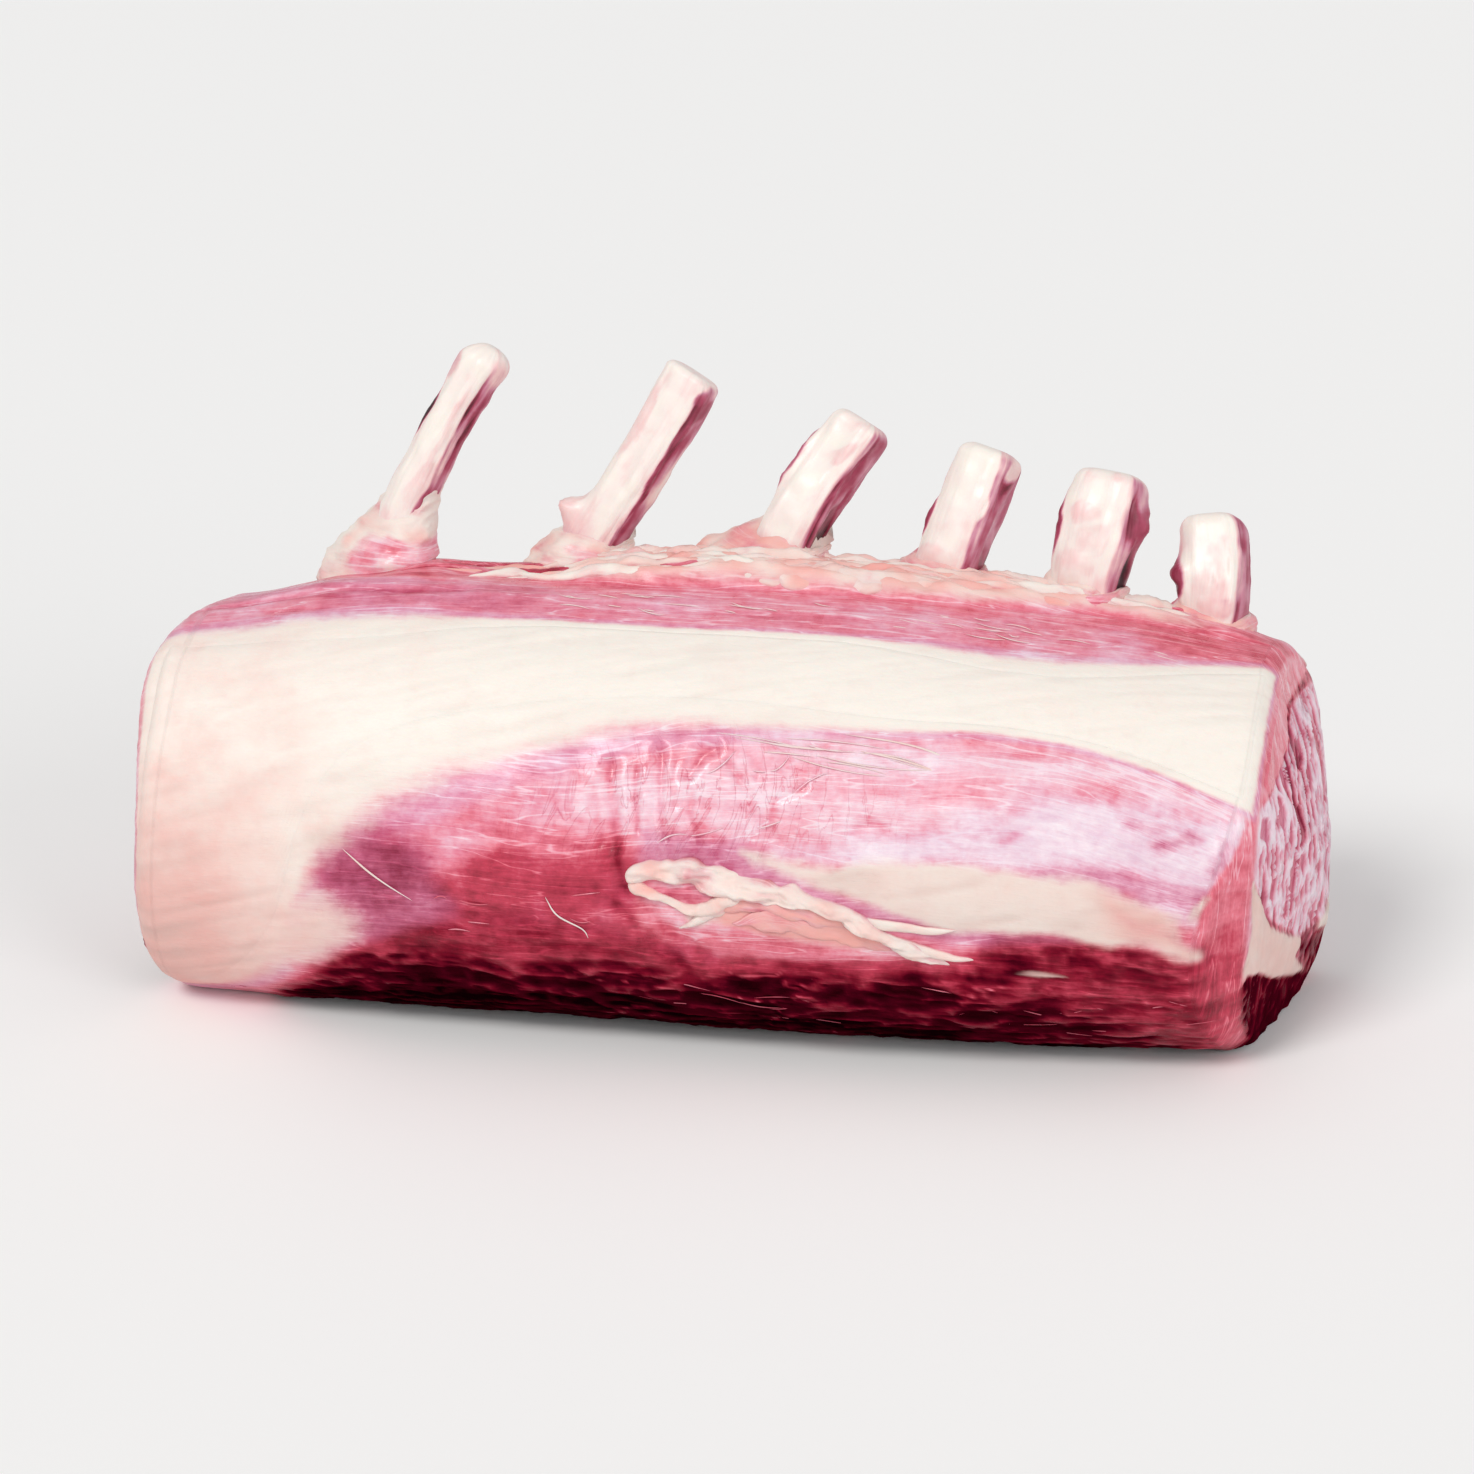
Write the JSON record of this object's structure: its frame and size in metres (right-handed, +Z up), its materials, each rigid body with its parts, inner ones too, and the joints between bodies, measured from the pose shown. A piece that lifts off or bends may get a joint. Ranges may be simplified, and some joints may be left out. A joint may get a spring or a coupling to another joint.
{
  "type": "rack of lamb",
  "caption": "Raw rack of lamb, French trimmed: a loin with a partial fat cap, standing on its chine edge with the scraped rib bones upright.",
  "frame": {"origin": "on the flat underside, near the middle of the loin's length and depth", "axes": "+X along the loin to the end with the exposed cut, -Y out of the fat side, +Z up along the rib bones"},
  "size_m": [0.1981, 0.0683, 0.1052],
  "materials": {
    "meat": "raw lamb meat, moist, with fibres, silverskin and red cut faces",
    "fat": "cream white fat, soft gloss",
    "bone": "scraped bone, cream with pink and mauve stains, moist"
  },
  "bodies": {
    "root": {"meat": "meat", "fat_cap": "fat", "fat_flap": "fat", "collar_1": "fat", "collar_2": "fat", "collar_3": "fat", "collar_4": "fat", "collar_5": "fat", "collar_6": "fat", "rib_1": "bone", "rib_2": "bone", "rib_3": "bone", "rib_4": "bone", "rib_5": "bone", "rib_6": "bone"}
  },
  "joints": []
}
